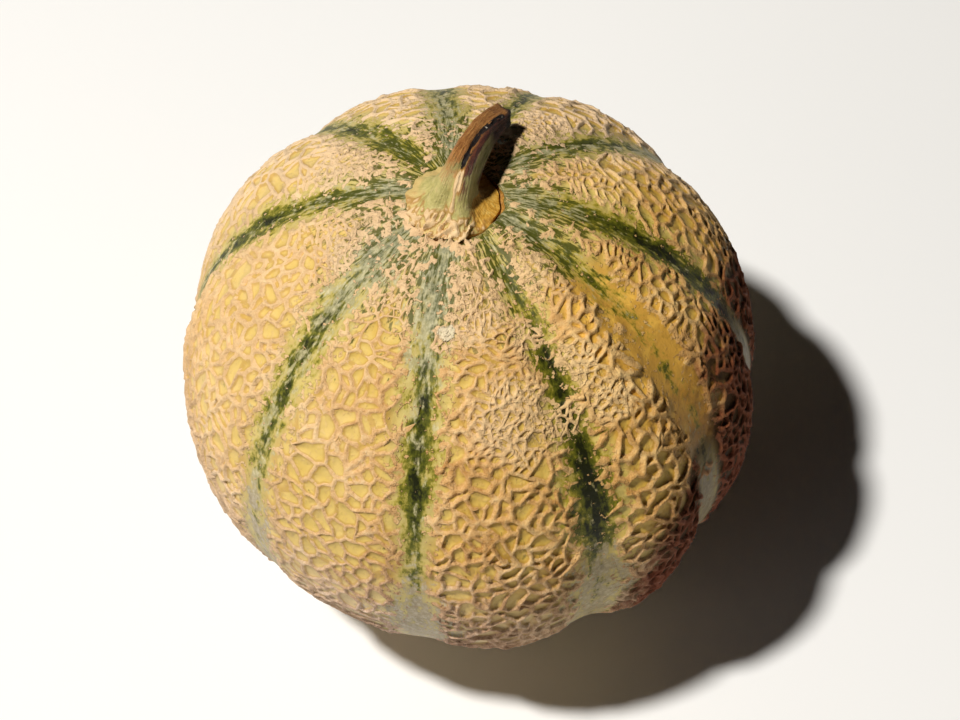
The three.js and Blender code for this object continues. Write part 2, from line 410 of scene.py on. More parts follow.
SEED = 20
FIRST_CELLS = 620  # large cells, which are then split again and again
FIRST_JITTER = 0.34
RIB_CELL_WIDTHS = np.array([4.2, 3.5, 3.9, 4.8, 5.0, 5.0, 4.8, 4.3, 4.4, 4.2]) * MM
RIB_NET_HEIGHTS = np.array([1.0, 0.8, 0.7, 0.65, 0.6, 0.6, 0.65, 0.82, 0.52, 0.85])
STEM_CELL_WIDTH = 2.2 * MM
CRUST_CELL_WIDTH = 1.95 * MM
FAR_CELL_WIDTH = 6.4 * MM
BARE_CELL_WIDTH = 6.0 * MM
NET_RISE = 0.85 * MM
STRAND_HALF_WIDTH = 0.64 * MM
BARE_HALF_WIDTH = 1.3 * MM
FULL_HEIGHT_WITHIN = 1.5 * MM  # of the bare band's edge
STEP_ALONG = 1.1 * MM
FAR_STEP_ALONG = 2.1 * MM
NET_STARTS = 11.2 * MM  # from the middle of the stem
LEAST_STRAND = 0.9 * MM
LOOSE_ENDS = 0.42  # the share of the unbroken strands that stop short
BREAKS = 0.06  # the share of the net's lines that are all but missing
CRUST_BREAKS = 0.24  # and how much more of them in a crust
ROUNDING = 0.4  # how far a cell's corners are drawn towards their neighbours
BEND = 0.45 * MM  # how far a strand waves, in long swells and in short ones
KINK = 0.13 * MM

# Where the cork is a close crust: polar angle, azimuth and radius, in degrees.
CRUST_PATCHES = [
    (43, 11, 10), (47, 23, 6), (30, 24, 5), (27, -11, 4), (38, 32, 6), (22, 3, 8), (18, -3, 7),
    (47, 36, 5), (20, -75, 9), (19, 40, 6), (24, 140, 10), (20, 185, 6), (26, -125, 8),
]
# Where the net runs right across a groove.
BRIDGES = [(26, 24, 1.8), (30, 25, 2.0), (46.5, 23, 3.6), (27, -11, 2.4), (80, 52, 2)]
# Where the bare skin is olive gold.
GOLD_PATCHES = [(52, 52, 13), (40, 54, 10), (62, 53, 11), (31, 52, 8), (36, 44, 5)]
# Where a dry white flake sticks to the skin.
FLAKES = [(25.9, -8.8, 1.9)]


def direction(polar, azimuth):
    p, a = np.radians(polar), np.radians(azimuth)
    return np.stack([np.sin(p) * np.sin(a), -np.sin(p) * np.cos(a), np.cos(p)], axis=-1)


NET_FINEST_AT = direction(34, 0)


def degrees_from(dirs, way):
    return np.degrees(np.arccos(np.clip(dirs @ way, -1, 1)))


def patch_share(dirs, patches):
    """1 in the middle of the nearest patch, and 0 outside them all."""
    share = np.zeros(len(dirs))
    for polar, azimuth, radius in patches:
        apart = degrees_from(dirs, direction(polar, azimuth))
        share = np.maximum(share, 1 - smooth(apart, 0.55 * radius, 1.25 * radius))
    return share


def far_share(dirs):
    """0 where the net is fine, and 1 round the back and below, where it opens out."""
    return smooth(degrees_from(dirs, NET_FINEST_AT), 82, 100)


def metres_from_stem(dirs):
    at_top = dirs[:, :2] * EQUATOR_R - STEM_MIDDLE
    return np.where(dirs[:, 2] > 0, np.linalg.norm(at_top, axis=1), 1.0)


def cork_share(dirs):
    """How much of its full height the net has: none in the grooves and beside the stem."""
    _, _, half, metres = stripe_values(dirs)
    polar = polar_angles(dirs)
    ragged = 0.8 * MM * ripple(dirs, 0.1, 5) + 0.7 * MM * ripple(dirs, 0.032, 6)
    band = half * 0.86 * smooth(polar, 4, 24)
    share = smooth(metres + ragged, band, band + FULL_HEIGHT_WITHIN)
    gaps = smooth(ripple(dirs, 0.035, 12) + 1.6 * smooth(polar, 12, 30), -0.5, 0.3)
    share = np.maximum(share * gaps, patch_share(dirs, BRIDGES))
    return share * smooth(metres_from_stem(dirs), NET_STARTS, NET_STARTS + 1.5 * MM)


def cell_width(dirs):
    """How wide a cell may stay, at these places."""
    rib = place_on_rib(dirs)[0]
    width = RIB_CELL_WIDTHS[rib] * np.exp(0.16 * ripple(dirs, 0.22, 7))
    near_stem = 1 - smooth(polar_angles(dirs) + 3 * ripple(dirs, 0.3, 8), 22, 42)
    width += (STEM_CELL_WIDTH - width) * near_stem
    width += (CRUST_CELL_WIDTH - width) * np.minimum(1, 1.8 * patch_share(dirs, CRUST_PATCHES))
    width += (FAR_CELL_WIDTH - width) * far_share(dirs)
    bare = cork_share(dirs) < 0.05
    wide = np.maximum(width * 1.3, BARE_CELL_WIDTH * smooth(polar_angles(dirs), -10, 40))
    return np.where(bare, wide, width)


# Cells are a little longer along the ribs than across them. By the stem the strands run round it
# like rungs, but in front of it they run out from it like threads.
CELL_STRETCH = 0.8
STEM_CELL_STRETCH = 1.7
THREAD_STRETCH = 0.45


def stretch_at(middle):
    if middle[2] < math.cos(math.radians(34)):
        return CELL_STRETCH
    azimuth = math.degrees(math.atan2(middle[0], -middle[1]))
    in_front = middle[2] > math.cos(math.radians(25)) and -70 < azimuth < 30
    return THREAD_STRETCH if in_front else STEM_CELL_STRETCH


def axes_at(middle):
    """Two ways along the surface at a middle: round the fruit, and along its ribs."""
    side = np.cross((0.03, 0.02, 1), middle)
    side /= np.linalg.norm(side)
    return side, np.cross(middle, side)


def flattened(outline):
    """The outline's points in metres on the plane through its middle, about that middle."""
    middle = outline.mean(0)
    side, other = axes_at(middle / np.linalg.norm(middle))
    flat = columns(outline @ side, outline @ other) * EQUATOR_R
    return flat - flat.mean(0)


def spread_evenly(count, jitter, rng):
    """Unit vectors spread over a sphere along a spiral, each then moved a little at random."""
    steps = np.arange(count)
    z = 1 - (2 * steps + 1) / count
    turn = steps * math.pi * (3 - math.sqrt(5))
    r = np.sqrt(1 - z * z)
    dirs = columns(r * np.cos(turn), r * np.sin(turn), z)
    return unit(dirs + rng.uniform(-jitter, jitter, dirs.shape) * math.sqrt(4 * math.pi / count))


def sides(loop):
    """The loop's lines, each from one point to the next."""
    return zip(loop, loop[1:] + loop[:1])


def line_of(a, b):
    """The line between two points, whichever way it is walked."""
    return min(a, b), max(a, b)


class Net:
    """The cells between the cork strands. A cell is a loop of points that it shares with its
    neighbours, and each line between two points belongs to one strand."""

    SHORTEST = 0.7 * MM / EQUATOR_R

    def __init__(self, middles):
        hull = bmesh.new()
        for middle in middles:
            hull.verts.new(middle)
        bmesh.ops.convex_hull(hull, input=hull.verts)
        hull.faces.index_update()
        same = list(range(len(hull.faces)))
        normals = [np.array(face.normal) for face in hull.faces]
        for edge in hull.edges:
            if len(edge.link_faces) == 2:
                first, second = sorted(face.index for face in edge.link_faces)
                if np.linalg.norm(normals[first] - normals[second]) < self.SHORTEST:
                    same[second] = first
        for i, first in enumerate(same):
            same[i] = same[first]
        self.points = normals
        self.loops = []
        self.strand = {}
        self.strand_count = 0
        for vert in hull.verts:
            if len(vert.link_faces) < 3:
                continue
            middle = np.array(vert.co.normalized())
            side, other = axes_at(middle)
            ring = {same[face.index] for face in vert.link_faces}
            self.loops.append(sorted(
                ring, key=lambda i: math.atan2(self.points[i] @ other, self.points[i] @ side)
            ))
        hull.free()
        self.cell_of = {}
        for number, loop in enumerate(self.loops):
            self.claim(number)
            for line in sides(loop):
                if line_of(*line) not in self.strand:
                    self.strand[line_of(*line)] = self.new_strand()

    def new_strand(self):
        self.strand_count += 1
        return self.strand_count - 1

    def claim(self, number):
        for line in sides(self.loops[number]):
            self.cell_of[line] = number

    def add_point_between(self, a, b, share):
        """Puts a new point on the line from a to b, in both cells beside it."""
        point = self.points[a] * (1 - share) + self.points[b] * share
        self.points.append(point / np.linalg.norm(point))
        new = len(self.points) - 1
        for first, second in ((a, b), (b, a)):
            number = self.cell_of.pop((first, second))
            loop = self.loops[number]
            loop.insert(loop.index(first) + 1, new)
            self.cell_of[first, new] = self.cell_of[new, second] = number
        whole = self.strand.pop(line_of(a, b))
        self.strand[line_of(a, new)] = whole
        self.strand[line_of(b, new)] = whole
        return new

    def flat(self, number):
        return flattened(np.array([self.points[i] for i in self.loops[number]]))

    def split(self, number, rng):
        """Divides a cell by a new strand across its long axis."""
        loop = self.loops[number]
        flat = self.flat(number)
        stretched = flat * [1, stretch_at(self.points[loop[0]])]
        long_axis = np.linalg.svd(stretched, full_matrices=False)[2][0]
        turn = rng.normal(0, 0.3)
        across = np.array([
            long_axis[0] * math.cos(turn) - long_axis[1] * math.sin(turn),
            long_axis[0] * math.sin(turn) + long_axis[1] * math.cos(turn),
        ])
        reach = flat @ across
        reach = reach - rng.normal(0, 0.1) * (reach.max() - reach.min())
        crossed = []
        for k, a in enumerate(loop):
            after = (k + 1) % len(loop)
            if (reach[k] > 0) != (reach[after] > 0):
                length = np.linalg.norm(flat[after] - flat[k])
                least = min(0.5, LEAST_STRAND / max(length, 1e-9))
                share = np.clip(reach[k] / (reach[k] - reach[after]), least, 1 - least)
                crossed.append((a, loop[after], share))
        if len(crossed) != 2:
            return False
        first, second = [self.add_point_between(*line) for line in crossed]
        loop = self.loops[number]
        start, end = sorted((loop.index(first), loop.index(second)))
        self.loops[number] = loop[start : end + 1]
        self.loops.append(loop[end:] + loop[: start + 1])
        self.claim(number)
        self.claim(len(self.loops) - 1)
        self.strand[line_of(first, second)] = self.new_strand()
        return True

    def area(self, number):
        x, y = self.flat(number).T
        return 0.5 * abs(x @ np.roll(y, -1) - y @ np.roll(x, -1))

    def split_down(self, rng):
        """Splits every cell until it is as small as its place asks, give or take."""
        waiting = list(range(len(self.loops)))
        while waiting:
            middles = np.array([np.mean([self.points[i] for i in self.loops[n]], 0) for n in waiting])
            wanted = cell_width(unit(middles)) ** 2 * rng.uniform(0.95, 1.9, len(waiting))
            split = [n for n, area in zip(waiting, wanted) if self.area(n) > area and self.split(n, rng)]
            waiting = sorted(set(split) | set(range(len(self.loops) - len(split), len(self.loops))))
            if not split:
                break

    def round_off(self, share):
        """Draws every corner towards its neighbours, which rounds the cells."""
        points = np.array(self.points)
        ends = np.array(list(self.strand))
        drawn = np.zeros_like(points)
        np.add.at(drawn, ends[:, 0], points[ends[:, 1]] - points[ends[:, 0]])
        np.add.at(drawn, ends[:, 1], points[ends[:, 0]] - points[ends[:, 1]])
        strands = np.maximum(np.bincount(ends.ravel(), minlength=len(points)), 1)
        self.points = list(unit(points + share * drawn / strands[:, None]))


def strand_values(net, rng):
    """Width and height of each strand, and for a loose end the share of its length it reaches."""
    pieces = np.bincount(list(net.strand.values()), minlength=net.strand_count)
    widths = STRAND_HALF_WIDTH * np.clip(rng.normal(1, 0.2, net.strand_count), 0.6, 1.5)
    heights = np.clip(rng.normal(1, 0.2, net.strand_count), 0.5, 1.5)
    loose = (pieces == 1) & (rng.uniform(size=net.strand_count) < LOOSE_ENDS)
    reach = np.where(loose, rng.uniform(0.35, 0.75, net.strand_count), 9.0)
    backwards = rng.uniform(size=net.strand_count) < 0.5
    return widths, heights, reach, backwards


def crest_lines(net, rng):
    """The points along every strand, whose lines are divided into short steps. Gives the points'
    directions, half widths and heights, and each line's points."""
    widths, heights, reach, backwards = strand_values(net, rng)
    dirs = list(net.points)
    half = [0.0] * len(dirs)
    rise = [0.0] * len(dirs)
    lines = {}
    starts = np.array([net.points[a] for a, _ in net.strand])
    bare = cork_share(starts) < 0.02
    breaks = BREAKS + CRUST_BREAKS * patch_share(starts, CRUST_PATCHES)
    missing = rng.uniform(size=len(starts)) < breaks
    step_lengths = STEP_ALONG + (FAR_STEP_ALONG - STEP_ALONG) * np.maximum(far_share(starts), 0.6 * bare)
    for ((a, b), strand), step_length, gone in zip(net.strand.items(), step_lengths, missing):
        start, end = net.points[a], net.points[b]
        length = np.linalg.norm(end - start) * EQUATOR_R
        steps = max(1, round(length / step_length))
        line = [a]
        for k in range(steps + 1):
            share = k / steps
            along = 1 - share if backwards[strand] else share
            left = float(1 - smooth(along, reach[strand] - 0.3, reach[strand]))
            height = heights[strand] * left * (0.1 if gone else 1)
            width = widths[strand] * (0.45 + 0.55 * left)
            if k in (0, steps):
                corner = a if k == 0 else b
                if height > rise[corner]:
                    rise[corner], half[corner] = height, width
                half[corner] = max(half[corner], 0.35 * MM)
                continue
            point = start * (1 - share) + end * share
            dirs.append(point / np.linalg.norm(point))
            half.append(width)
            rise.append(height)
            line.append(len(dirs) - 1)
        lines[a, b] = line + [b]
    return np.array(dirs), np.array(half), np.array(rise), lines


def wave_lines(dirs):
    """Moves the crest points sideways a little, so that no strand runs dead straight."""
    bend = columns(*[ripple(dirs, 0.11, 30 + k) for k in range(3)]) * BEND
    kink = columns(*[ripple(dirs, 0.045, 40 + k) for k in range(3)]) * KINK
    return unit(dirs + (bend + kink) / EQUATOR_R)


WAY_SAMPLES = np.linspace(0, 0.84, 22)
MELT = 6.0  # how sharply strands that meet keep apart: low values melt them together


def inner_rings(flat, half):
    """The share of the way to a cell's middle at which its strands' shoulder and foot lie, and
    how far out of the strands (0 on a crest, 1 at a foot) the foot and the middle are."""
    points = np.concatenate([flat * (1 - WAY_SAMPLES[:, None, None]), 0 * flat[None]])
    after = np.roll(flat, -1, axis=0)
    along = after - flat
    half_here = np.maximum((half + np.roll(half, -1)) / 2, 1e-5)
    lengths = np.maximum((along**2).sum(1), 1e-14)
    offset = points[:, :, None, :] - flat[None, None]
    share = np.clip((offset * along).sum(-1) / lengths, 0, 1)
    apart = np.linalg.norm(offset - share[..., None] * along, axis=-1)
    ratio = ((np.maximum(apart, 1e-6) / half_here) ** -MELT).sum(-1) ** (-1 / MELT)
    middle = ratio[-1, 0]
    ratio = np.maximum.accumulate(ratio[:-1], axis=0)
    shoulder, foot = [np.array([np.interp(far, r, WAY_SAMPLES) for r in ratio.T]) for far in (0.5, 1.0)]
    return np.minimum(shoulder, 0.6 * foot), foot, np.minimum(1, ratio[-1]), middle


def soften(values):
    return (np.roll(values, 1) + 2 * values + np.roll(values, -1)) / 4


def net_mesh():
    """The fruit's whole skin as one closed surface with its strands raised: the vertices'
    directions, rises, cork (1 where the net is whole) and way out of the strands, and the faces."""
    rng = np.random.default_rng(SEED)
    net = Net(spread_evenly(FIRST_CELLS, FIRST_JITTER, rng))
    net.split_down(rng)
    net.round_off(ROUNDING)
    dirs, half, rise, lines = crest_lines(net, rng)
    dirs = wave_lines(dirs)
    share = cork_share(dirs)
    rib = place_on_rib(dirs)[0]
    lace = patch_share(dirs, CRUST_PATCHES)
    by_stem = 1 - smooth(polar_angles(dirs), 16, 42)
    crust = np.maximum(lace**1.5, by_stem)
    lumps = 1 + 0.16 * ripple(dirs, 0.035, 9) + 0.15 * ripple(dirs, 0.15, 10)
    height = NET_RISE * rise * share * RIB_NET_HEIGHTS[rib] * lumps * (1 - 0.4 * crust)
    half = half * (1 - 0.38 * crust) * (1 - 0.28 * by_stem) * (0.55 + 0.45 * RIB_NET_HEIGHTS[rib])
    half = np.where(share < 0.06, BARE_HALF_WIDTH * (1 - 0.4 * crust), half * (0.4 + 0.6 * share))
    cork = np.clip(rise * 1.8, 0, 1) * share
    rows = [(dirs, height, cork, np.zeros(len(dirs)))]
    count = len(dirs)
    faces = []
    for loop in net.loops:
        ring = []
        for a, b in sides(loop):
            ring += lines[a, b][:-1] if (a, b) in lines else lines[b, a][:0:-1]
        n = len(ring)
        outline, high, whole = dirs[ring], height[ring], cork[ring]
        middle = outline.mean(0)
        *ways, out, middle_out = inner_rings(flattened(outline), half[ring])
        shoulder, foot = [unit(outline + (middle - outline) * soften(way)[:, None]) for way in ways]
        middle_height = high.mean() * max(0, 1 - middle_out**2)
        rows += [
            (shoulder, high * 0.8, whole, np.full(n, 0.5)),
            (foot, high * (1 - out**2), whole, out),
            (middle[None] / np.linalg.norm(middle), [middle_height], [whole.mean()], [middle_out]),
        ]
        for k in range(n):
            after = (k + 1) % n
            faces.append((ring[k], ring[after], count + after, count + k))
            faces.append((count + k, count + after, count + n + after, count + n + k))
            faces.append((count + n + k, count + n + after, count + 2 * n))
        count += 2 * n + 1
    return *[np.concatenate(values) for values in zip(*rows)], faces


RIM_LUMPS_START = 10.4 * MM  # from the middle of the stem
RIM_LUMP_REACH = 3.8 * MM
RIM_LUMP_HEIGHT = 1.7 * MM
RIM_LUMPS_AZIMUTH = -35


def rim_lumps(dirs):
    """Lumps of cork on the rind along the front left of the stem's foot."""
    away = metres_from_stem(dirs) - RIM_LUMPS_START
    near = smooth(-away, -RIM_LUMP_REACH, 0) * smooth(away, -0.6 * MM, 0.4 * MM)
    turn = (azimuths(dirs) - RIM_LUMPS_AZIMUTH + 180) % 360 - 180
    front = 1 - smooth(np.abs(turn), 30, 75)
    return near * front * np.clip(0.45 + 0.6 * ripple(dirs, 0.024, 11), 0, 1.2)


def store_looks(mesh, dirs, cork, out):
    """What the rind's material reads at each vertex."""
    green, bloom, half, metres = stripe_values(dirs)
    azimuth = np.radians(azimuths(upright(dirs)))
    polar = polar_angles(dirs)
    wide = 0.5 + 0.22 * np.sin(np.radians(np.minimum(polar, 90)))
    lumps = rim_lumps(dirs)
    # east is 1 on the fruit's right side, away from the key light, and the rind's material paints shade and
    # light by it.
    east = np.cos(np.radians(azimuths(dirs) - 75)) * np.sin(np.radians(np.minimum(polar, 90)))
    store(
        mesh,
        cork=np.maximum(cork, np.clip(lumps * 3, 0, 1)),
        out=np.where(lumps > 0.15, 0.3, np.minimum(out, 4)),
        green=green,
        bloom=bloom,
        aside=np.minimum(metres / half, 4),
        polar=polar,
        east=east * (1 - 0.6 * smooth(polar, 110, 165)),
        lie=columns(wide * np.sin(azimuth), -wide * np.cos(azimuth), np.radians(polar) * 0.33),
        gold=patch_share(dirs, GOLD_PATCHES),
        lace=patch_share(dirs, CRUST_PATCHES) ** 2,
        flake=patch_share(dirs, FLAKES),
    )


# ---- the rind's materials


def add_cork_group():
    """The look of raised cork: its colour, and the height of its grain for a bump."""
    group = bpy.data.node_groups.new("cork_grain", "ShaderNodeTree")
    sockets = [
        ("Place", "INPUT", "Vector"), ("Age", "INPUT", "Float"),
        ("Color", "OUTPUT", "Color"), ("Height", "OUTPUT", "Float"),
    ]
    for name, way, kind in sockets:
        group.interface.new_socket(name, in_out=way, socket_type="NodeSocket" + kind)
    nodes = Nodes(group)
    given = nodes.add("NodeGroupInput").outputs
    broad = nodes.swing(given["Place"], 70, 1.0, 2)
    fine = nodes.swing(given["Place"], 700, 1.2, 4, 0.65)
    grain = nodes.swing(given["Place"], 2400, 0.5, 2)
    tone = nodes.total(broad, fine, grain, plus=0.5)
    fresh = nodes.ramp(tone, (0.15, 0.5, 0.85), "BA8A50 D9AF79 EACA9A")
    old = nodes.ramp(tone, (0.15, 0.5, 0.85), "8C6A56 C4A28A E2CAB6")
    height = nodes.total((fine, 0.45), (grain, 0.9))
    nodes.add("NodeGroupOutput", {"Color": nodes.mix(given["Age"], fresh, old), "Height": height})
    return group


def ground_colour(nodes, place, out):
    """The skin between the stripes: straw on the left and ochre on the right, a drift that is painted
    shade, olive gold in places, dull below, and darker brown along the foot of each strand, which is
    partly stain and partly painted shade."""
    east, polar, gold = nodes.kept("east", "polar", "gold")
    broad = nodes.swing(place, 60, 1.6, 2)
    patch = nodes.swing(place, 240, 1.3, 3)
    mottle = nodes.swing(place, 420, 1.4, 4, 0.65)
    # Painted shade: east darkens the tone from straw towards ochre on the fruit's right side; broad and
    # patch vary it at random.
    tone = nodes.total((east, 0.24), (broad, 0.32), (patch, 0.3), plus=0.4)
    golden = nodes.between([gold, (patch, 0.8), (mottle, 0.6), (broad, 0.3)], 0.3, 0.95, 0, 0.85)
    ochre = nodes.between([polar, (patch, 22)], 48, 74)
    return nodes.layers(
        nodes.ramp(tone, (0.05, 0.4, 0.7, 1.0), "E3C681 D8BA66 C9A148 A87D33"),
        (golden, nodes.mix(ochre, "F2C260", "C28C36")),
        (nodes.between([mottle, (gold, 0.1)], 0.18, 0.34, 0, 0.4), "9A7A2A"),
        (nodes.between(polar, 72, 104, 0, 0.7), "CDB89C"),
        # Darker brown along each strand's foot, partly a real stain and partly painted shade in the crease.
        (nodes.between(out, 1.0, 1.5, 0.4, 0), "A8742F"),
    )


def stripe_colour(nodes, place, ground):
    """Green stripes, mottled and ragged, with streaks of grey bloom, over the ground colour."""
    green, bloom, aside, polar, gold = nodes.kept("green", "bloom", "aside", "polar", "gold")
    lie = nodes.kept("lie", output="Vector")[0]
    near_stem = nodes.between(polar, 14, 40, 1, 0)
    streak = nodes.swing(lie, 26, 1.0, 4, 0.6, 0.4)
    fine_streak = nodes.swing(lie, 62, 1.0, 3, 0.6)
    blotch = nodes.swing(place, 330, 1.0, 4, 0.6)
    speckle = nodes.swing(place, 900, 1.0, 3, 0.6)
    coloured = nodes.larger(green, bloom)
    haze = nodes.total(
        coloured, (aside, -0.6), (streak, 0.8), (blotch, 0.5), (near_stem, 0.35), (gold, -0.45)
    )
    pigment = nodes.total(
        green, (aside, -0.72), (streak, 2.1), (fine_streak, 1.6), (blotch, 1.6), speckle,
        (near_stem, 0.05),
    )
    depth = nodes.total((pigment, 0.9), (aside, -0.25), (near_stem, -0.2), (streak, -0.3))
    leaf = nodes.ramp(depth, (0.05, 0.25, 0.5, 0.75, 1.1), "A99A3A 87802A 60621C 434711 1D2006")
    flush = nodes.total((near_stem, 0.95), (streak, 2.6), (fine_streak, 2.8), (blotch, 0.8))
    flush = nodes.times(nodes.between(flush, 0.6, 0.95, 0, 0.9), nodes.between(aside, 0.8, 3.5, 1, 0.6))
    wax = nodes.total(
        bloom, (aside, -0.42), (streak, -1.8), (fine_streak, -2.6), (blotch, 1.2), (speckle, 0.8),
        (near_stem, 0.14),
    )
    tone = nodes.total(speckle, (fine_streak, -1.0), plus=0.5)
    wax_codes = ("8A8760 A8A179 D0C8A0", "85796A A09280 C2B8A8", "6C7058 93947A C6C2A2")
    grey, dull, slate = [nodes.ramp(tone, (0.25, 0.5, 0.78), codes) for codes in wax_codes]
    grey = nodes.layers(grey, (nodes.between(polar, 66, 80), dull), (nodes.times(near_stem, 0.8), slate))
    skin = nodes.layers(
        ground,
        (nodes.between(haze, -0.35, 0.45, 0, 0.75), "C6BA7A"),
        (nodes.between(pigment, -0.1, 0.6), leaf),
        (flush, "4C501B"),
        (nodes.between(wax, 0.22, 0.8, 0, 0.8), grey),
    )
    return skin, blotch, speckle, streak


def rind_material(cork_group):
    material, shader, nodes, place = new_material("netted_rind")
    out, whole, lace, aside = nodes.kept("out", "cork", "lace", "aside")
    polar, east, bloom, flake = nodes.kept("polar", "east", "bloom", "flake")
    skin, blotch, speckle, streak = stripe_colour(nodes, place, ground_colour(nodes, place, out))
    # Where the cork is: the strands, the crumbs beside them, and the tangle in the crusts.
    filled = nodes.swing(place, 150, 1.0, 2)
    in_crust = nodes.times(lace, nodes.between(aside, 0.8, 1.6))
    across = [(out, -1.0), (speckle, 0.35), (blotch, 0.5), (filled, 1.3), (in_crust, 0.15)]
    whole = nodes.between([whole, (blotch, 0.6), (speckle, 0.5)], 0.22, 0.42)
    strand = nodes.times(nodes.between(across, -0.98, -0.78), whole)
    near_net = nodes.between(aside, 0.1, 1.1, -0.06, 0.05)
    crumb = [nodes.noise(place, 760, 2, 0.5), (speckle, 0.5), near_net, (lace, 0.1)]
    crumb = nodes.between(crumb, 0.62, 0.68, 0, 0.95)
    crumb = nodes.times(crumb, nodes.between(aside, 1.6, 2.2, 1, 0.25))
    tangle = nodes.maths("ABSOLUTE", nodes.swing(place, 430, 1.0, 1, 0.5, 0.6))
    tangle = nodes.times(nodes.between(tangle, 0.01, 0.08, 0.85, 0), in_crust)
    on_cork = nodes.larger(nodes.larger(strand, crumb), tangle)
    # Its colour: paler in the crusts, by the stem and at the back.
    behind = nodes.add("ShaderNodeSeparateXYZ", {"Vector": place}).outputs["Y"]
    behind = nodes.between(behind, 2 * MM, 34 * MM)
    pale = nodes.larger(nodes.times(lace, 0.5), nodes.between(polar, 16, 34, 0.45, 0))
    pale = nodes.larger(pale, nodes.times(behind, 0.7))
    age = nodes.between([polar, (blotch, 20)], 64, 100)
    grain = nodes.add("ShaderNodeGroup", {"Place": place, "Age": age}, node_tree=cork_group).outputs
    # Painted light and shade by east: paler cork on the fruit's left, towards the key light, and a darker,
    # warmer tint over the rind towards its right.
    left = nodes.between(east, -0.6, 0.0, 0.34, 0)
    cork = nodes.layers(grain["Color"], (left, "ECD4AC"), (pale, "E8CFAE"))
    base = nodes.mix(on_cork, skin, cork)
    painted_shade_tint = nodes.between([east, (behind, -0.6)], -0.1, 0.6)
    base = nodes.mix(painted_shade_tint, base, (1.0, 0.96, 0.76, 1), blend="MULTIPLY")
    # The maroon flank, painted shade on the fruit's right side away from the key light, which the bloom in
    # the grooves covers; and the dry flake.
    broad = nodes.swing(place, 42, 1.0, 2)
    painted_shade_flank = [east, (nodes.between(polar, 68, 98), 0.15), (blotch, 0.14), (broad, 0.3)]
    bloomed = nodes.times(nodes.between(aside, 0.5, 1.1, 0.55, 0), bloom)
    painted_shade_flank = nodes.maths("SUBTRACT", nodes.between(painted_shade_flank, 0.78, 0.92, 0, 0.92), bloomed, clamp=True)
    flake = nodes.between([flake, (blotch, 2.0), (speckle, 1.2)], 0.5, 0.85, 0, 0.75)
    base = nodes.layers(base, (painted_shade_flank, nodes.mix(on_cork, "2A0804", "763822")), (flake, "E2D9BE"))
    rough = nodes.larger(nodes.between(on_cork, 0, 1, 0.5, 0.85), painted_shade_flank)
    relief = nodes.total(
        (nodes.times(grain["Height"], on_cork), 0.5 * MM), (crumb, 0.22 * MM), (tangle, 0.16 * MM),
        (blotch, 0.32 * MM), (streak, 0.2 * MM), (speckle, 0.06 * MM), (flake, 0.4 * MM),
    )
    nodes.finish(shader, base, rough, relief)
    shader.inputs["Specular IOR Level"].default_value = 0.2
    return material


def pit_material():
    """The bare flesh under the foot of the stem."""
    material, shader, nodes, place = new_material("pit_flesh")
    fibres = nodes.noise(place, 700, 4, 0.6, 0.6)
    tone = nodes.ramp(fibres, (0.3, 0.5, 0.7), "5A3A12 A06F24 CFA04A")
    nodes.finish(shader, tone, 0.6, fibres, distance=0.4 * MM, strength=0.8)
    return material


# ---- the fruit

FOOT_R = 9.9 * MM
PIT_R = 10.5 * MM
PIT_FLOOR_Z = 127.9 * MM
PIT_INSETS = (1.2 * MM, 2.4 * MM, 2.8 * MM)
PIT_BULGE = 0.035  # as a share of its radius
PIT_BULGE_ANGLE = -15
CUTTER_HEIGHT = 20 * MM
CUTTER_SIDES = 120


def add_pit_cutter(material):
    """A cylinder with a wavy wall and a rough floor, which cuts the pit under the stem."""
    deselect_all()
    bpy.ops.mesh.primitive_cylinder_add(
        vertices=CUTTER_SIDES, radius=PIT_R, depth=CUTTER_HEIGHT,
        location=(*STEM_MIDDLE, PIT_FLOOR_Z + CUTTER_HEIGHT / 2),
    )
    cutter = bpy.context.object
    bpy.ops.object.transform_apply(location=True)
    edit_mode()
    bpy.ops.mesh.select_all(action="DESELECT")
    edit_mode(False)
    for face in cutter.data.polygons:
        face.select = face.normal.z < -0.5
    edit_mode()
    for thickness in PIT_INSETS:
        bpy.ops.mesh.inset(thickness=thickness)
    edit_mode(False)
    places = positions(cutter.data)
    x, y = (places[:, :2] - STEM_MIDDLE).T
    turn = np.arctan2(y, x)
    ring = columns(np.cos(turn), np.sin(turn), 0 * turn)
    wobble = 1 + 0.02 * ripple(ring, 1.1, 50) + 0.012 * ripple(ring, 0.3, 51)
    wobble += PIT_BULGE * np.exp(-((turn - math.radians(PIT_BULGE_ANGLE)) / 0.8) ** 2)
    places[:, :2] = STEM_MIDDLE + (places[:, :2] - STEM_MIDDLE) * wobble[:, None]
    floor = (places[:, 2] < PIT_FLOOR_Z + 1 * MM) & (np.hypot(x, y) < PIT_R * 0.99)
    places[floor, 2] += 0.2 * MM * ripple(places[floor], 3 * MM, 52)
    set_positions(cutter.data, places)
    cutter.data.materials.append(material)
    return cutter


def smooth_all_but_the_pit_rim(fruit):
    make_active(fruit)
    bpy.ops.object.shade_smooth()
    surface = bmesh.new()
    surface.from_mesh(fruit.data)
    for edge in surface.edges:
        edge.smooth = len({face.material_index for face in edge.link_faces}) < 2
    surface.to_mesh(fruit.data)
    surface.free()


